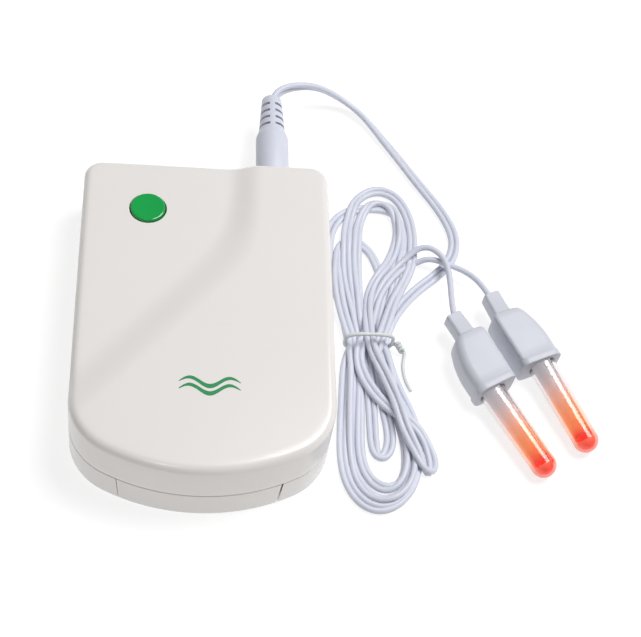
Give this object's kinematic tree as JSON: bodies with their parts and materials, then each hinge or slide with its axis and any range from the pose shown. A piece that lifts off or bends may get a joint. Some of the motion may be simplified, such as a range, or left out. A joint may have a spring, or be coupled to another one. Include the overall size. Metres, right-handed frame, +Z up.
{
  "type": "nasal light therapy unit",
  "caption": "White rounded battery case with a green push button, plug-in twin lead in a tied hank, and clear light probes on moulded handles.",
  "frame": {"origin": "on the table under the middle of the case, on the flat underside of the lower case", "axes": "+Z up, +Y towards the plug side of the case, +X towards the hank and the probes"},
  "size_m": [0.1372, 0.1409, 0.023],
  "materials": {
    "case_white": "warm white glossy moulded ABS",
    "lead_white": "cool white flexible PVC",
    "button_green": "saturated glossy green",
    "black_plastic": "matt black plastic",
    "board_green": "green solder mask",
    "screw_steel": "zinc plated steel",
    "pin_brass": "nickel plated brass",
    "clear_plastic": "clear polished plastic",
    "glow_sleeve": "translucent diffuser, lit from the tip",
    "led_red": "red lens, lit",
    "battery_wrap": "printed foil wrap",
    "capacitor_sleeve": "blue shrink sleeve",
    "resistor_coat": "beige lacquer with colour bands",
    "wire_red": "red PVC insulation",
    "wire_black": "black PVC insulation",
    "tie_white": "plastic-coated wire tie"
  },
  "bodies": {
    "case": {"battery": "battery_wrap", "battery_snap": "black_plastic", "battery_wire_black": "wire_black", "battery_wire_red": "wire_red", "board_screw_1": "screw_steel", "board_screw_2": "screw_steel", "board_screw_3": "screw_steel", "buzzer": "black_plastic", "case_screw_1": "screw_steel", "case_screw_2": "screw_steel", "case_screw_3": "screw_steel", "case_screw_4": "screw_steel", "circuit_board": "board_green", "control_chip": "black_plastic", "drive_transistor_1": "black_plastic", "drive_transistor_2": "black_plastic", "filter_capacitor": "capacitor_sleeve", "hank_tie": "tie_white", "jack_socket": "black_plastic", "lead_hank": "lead_white", "left_probe_board": "board_green", "left_probe_handle": "lead_white", "left_probe_lead": "lead_white", "left_probe_led": "led_red", "left_probe_sleeve": "glow_sleeve", "left_probe_tube": "clear_plastic", "lower_case": "case_white", "resistor_1": "resistor_coat", "resistor_2": "resistor_coat", "resistor_3": "resistor_coat", "resistor_4": "resistor_coat", "right_probe_board": "board_green", "right_probe_handle": "lead_white", "right_probe_lead": "lead_white", "right_probe_led": "led_red", "right_probe_sleeve": "glow_sleeve", "right_probe_tube": "clear_plastic", "switch_body": "black_plastic", "upper_cover": "case_white"},
    "button": {"power_button": "button_green"},
    "plunger": {"switch_plunger": "black_plastic"},
    "door": {"battery_door": "case_white"},
    "plug": {"plug_body": "lead_white", "plug_pin": "pin_brass", "twin_lead": "lead_white"}
  },
  "joints": [
    {"name": "power_press", "type": "slide", "parent": "case", "child": "button", "axis": [0, 0, -1], "range_m": [0, 0.0006], "stiffness_N_per_m": 1500, "springref_m": -0.0002},
    {"name": "plunger_press", "type": "slide", "parent": "case", "child": "plunger", "axis": [0, 0, -1], "range_m": [0, 0.0006]},
    {"name": "door_slide", "type": "slide", "parent": "case", "child": "door", "axis": [0, -1, 0], "range_m": [0, 0.045]},
    {"name": "plug_pull", "type": "slide", "parent": "case", "child": "plug", "axis": [0, 1, 0], "range_m": [0, 0.016], "deforming": ["twin_lead"]}
  ],
  "couplings": [
    {"joint": "plunger_press", "follows": "power_press", "ratio": 1}
  ]
}
